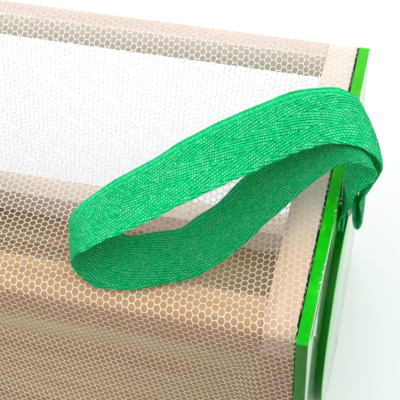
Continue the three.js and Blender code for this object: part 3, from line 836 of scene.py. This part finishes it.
def catmull(rows, count):
    """Points evenly spaced along a centripetal curve through the rows' first three numbers, and the curve's
    length. The rest of each row runs along smoothly."""
    rows = np.array(rows, float)
    steps = np.linalg.norm(np.diff(rows[:, :3], axis=0), axis=1) ** 0.5
    knots = np.concatenate([[0.0], np.cumsum(steps)])
    slopes = np.zeros_like(rows)
    left = (rows[1:-1] - rows[:-2]) / (knots[1:-1] - knots[:-2])[:, None]
    right = (rows[2:] - rows[1:-1]) / (knots[2:] - knots[1:-1])[:, None]
    share = ((knots[2:] - knots[1:-1]) / (knots[2:] - knots[:-2]))[:, None]
    slopes[1:-1] = left * share + right * (1 - share)
    slopes[0] = (rows[1] - rows[0]) / steps[0]
    slopes[-1] = (rows[-1] - rows[-2]) / steps[-1]
    fine = np.linspace(0, knots[-1], 6000)
    at = np.clip(np.searchsorted(knots, fine, side="right") - 1, 0, len(rows) - 2)
    span = (knots[at + 1] - knots[at])[:, None]
    t = ((fine - knots[at]) / span[:, 0])[:, None]
    points = (
        (2 * t**3 - 3 * t**2 + 1) * rows[at]
        + (t**3 - 2 * t**2 + t) * span * slopes[at]
        + (-2 * t**3 + 3 * t**2) * rows[at + 1]
        + (t**3 - t**2) * span * slopes[at + 1]
    )
    run = np.concatenate([[0.0], np.cumsum(np.linalg.norm(np.diff(points[:, :3], axis=0), axis=1))])
    even = np.linspace(0, run[-1], count)
    return np.stack([np.interp(even, run, points[:, k]) for k in range(rows.shape[1])], axis=1), run[-1]


def make_tape(material):
    rows = []
    for row in tape_rows:
        near, far, bow = (np.array(p) * tape_unit for p in row)
        rows.append([*((near + far) / 2), *((far - near) / 2), *bow])
    line, length = catmull(rows, tape_steps)
    middle = line[:, :3] + np.array([panel_high.x, panel_low.y, panel_high.z])
    half, bow = line[:, 3:6], line[:, 6:9]
    run = np.linspace(0, length, tape_steps)
    # the ring round the tape: one face, a rounded selvedge, the other face, and the other selvedge
    v = np.linspace(-1, 1, tape_columns)
    place_v = np.concatenate([v, v[::-1]])
    sign = np.concatenate([np.ones(len(v)), -np.ones(len(v))])
    shape = np.sqrt(np.clip(1 - np.abs(place_v) ** 40, 0.02, 1))
    # the selvedges are a little ruffled, each in its own way
    far_ruffle = sum(high * np.sin(run / long + start) for high, long, start in far_ruffles)
    near_ruffle = sum(high * np.sin(run / long + start) for high, long, start in near_ruffles)
    ruffle = np.where(v[None, :] > 0, far_ruffle[:, None], near_ruffle[:, None]) * np.abs(v[None, :]) ** 6
    across = half / np.linalg.norm(half, axis=1)[:, None]
    sheet_points = (
        middle[:, None, :]
        + half[:, None, :] * v[None, :, None]
        + bow[:, None, :] * (1 - v[None, :, None] ** 2)
        + across[:, None, :] * ruffle[:, :, None]
    )
    face = np.cross(np.gradient(sheet_points, axis=0), np.gradient(sheet_points, axis=1))
    face /= np.linalg.norm(face, axis=2)[:, :, None]
    # it waves a little, but not near its ends
    wave = wave_high * np.sin(run[:, None] / wave_long + v[None, :] * 1.4)
    wave = wave * np.clip((np.minimum(run, length - run) - still_end) / wave_rise, 0, 1)[:, None]
    edge = edge_high * np.sin(run[:, None] / edge_long + v[None, :] * 2.0) * np.abs(v[None, :]) ** 3
    sheet_points = sheet_points + face * (wave + edge)[:, :, None]
    order = np.concatenate([np.arange(len(v)), np.arange(len(v))[::-1]])
    verts = sheet_points[:, order] + face[:, order] * (sign * shape * tape_thick / 2)[None, :, None]
    n = len(place_v)
    verts = verts.reshape(-1, 3)
    faces = []
    for i in range(tape_steps - 1):
        a, b = i * n, (i + 1) * n
        for j in range(n):
            k = (j + 1) % n
            faces.append((a + j, a + k, b + k, b + j))
    for start, turn in ((0, False), ((tape_steps - 1) * n, True)):
        for j in range(n // 2 - 1):
            quad = (start + j, start + n - 1 - j, start + n - 2 - j, start + j + 1)
            faces.append(quad[::-1] if turn else quad)
    mesh = bpy.data.meshes.new("tape")
    mesh.from_pydata([tuple(p) for p in verts], [], faces)
    cloth = mesh.uv_layers.new(name="cloth")
    index = np.empty(len(mesh.loops), dtype=np.int64)
    mesh.loops.foreach_get("vertex_index", index)
    uv = np.stack([run[index // n], place_v[index % n] * tape_width / 2], axis=1)
    cloth.data.foreach_set("uv", uv.astype(np.float32).ravel())
    mesh.materials.append(material)
    bm = bmesh.new()
    bm.from_mesh(mesh)
    bmesh.ops.recalc_face_normals(bm, faces=bm.faces)
    bm.to_mesh(mesh)
    bm.free()
    smooth(mesh, 75.0)
    piece = new_object("tape_loop", mesh)
    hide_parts("carry_loop", "tape_ends")
    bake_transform(piece)
    return piece


make_camera()
make_world()
make_stage()
for lamp in lamps:
    area_light(*lamp)

# Tones of wood, each pale, middle and dark; they differ partly as the wood's own tone and partly as painted
# light on the far and end bars and painted shade on the posts
near_tones = srgb(224, 186, 138), srgb(208, 166, 115), srgb(188, 142, 92)
end_tones = srgb(242, 214, 186), srgb(232, 196, 160), srgb(216, 172, 130)
far_tones = srgb(242, 224, 210), srgb(234, 212, 196), srgb(224, 196, 176)
floor_tones = srgb(206, 174, 134), srgb(182, 146, 104), srgb(152, 114, 76)
post_tones = srgb(190, 154, 116), srgb(172, 134, 94), srgb(150, 110, 74)
# painted light: the back bar's inner face, and the end bars towards the back, are paler
inner_painted_light = srgb(255, 238, 224), back_bar_low.y + 0.0006, back_bar_low.y + 0.0002, 1.0
end_painted_light = srgb(252, 238, 222), -0.045, 0.03, 0.8

wood_front = wood_material("bar_wood_front", 0, near_tones, 0.0)
wood_back = wood_material("bar_wood_back", 0, far_tones, 2.2, painted_light=inner_painted_light)
wood_pale = wood_material("bar_wood_pale", 0, far_tones, 6.1)
wood_bottom = wood_material("bar_wood_bottom", 0, near_tones, 4.4)
wood_ends = wood_material("bar_wood_ends", 1, end_tones, 3.1, painted_light=end_painted_light)
wood_posts = wood_material("bar_wood_posts", 2, post_tones, 5.7)
floor_wood = wood_material("floor_wood", 0, floor_tones, 9.2, gap_shade=False)
lacquer = lacquer_material("green_lacquer", True)
lacquer_plain = lacquer_material("green_lacquer_plain", False)
steel = steel_material()

dressed("front_top_bar", wood_front)
dressed("back_top_bar", wood_back)
dressed("front_bottom_bar", wood_bottom)
dressed("back_bottom_bar", wood_pale)
for side in ("right", "left"):
    for name in (side + "_top_bar", side + "_bottom_bar"):
        dressed(name, wood_ends)
    for name in (side + "_front_post", side + "_back_post"):
        dressed(name, wood_posts)
dressed("floor_plate", floor_wood)
dressed("right_end_panel", lacquer, segments=3)
dressed("left_end_panel", lacquer, segments=3)
dressed("swivel_cover", lacquer_plain, segments=3, body="cover")

for name, node in nodes.items():
    if any(word in name for word in ("pin", "screw", "washer", "nut", "pivot")):
        node.data.materials.clear()
        node.data.materials.append(steel)

make_net(net_material())
make_tape(tape_material())

bpy.context.scene.view_settings.view_transform = "Standard"
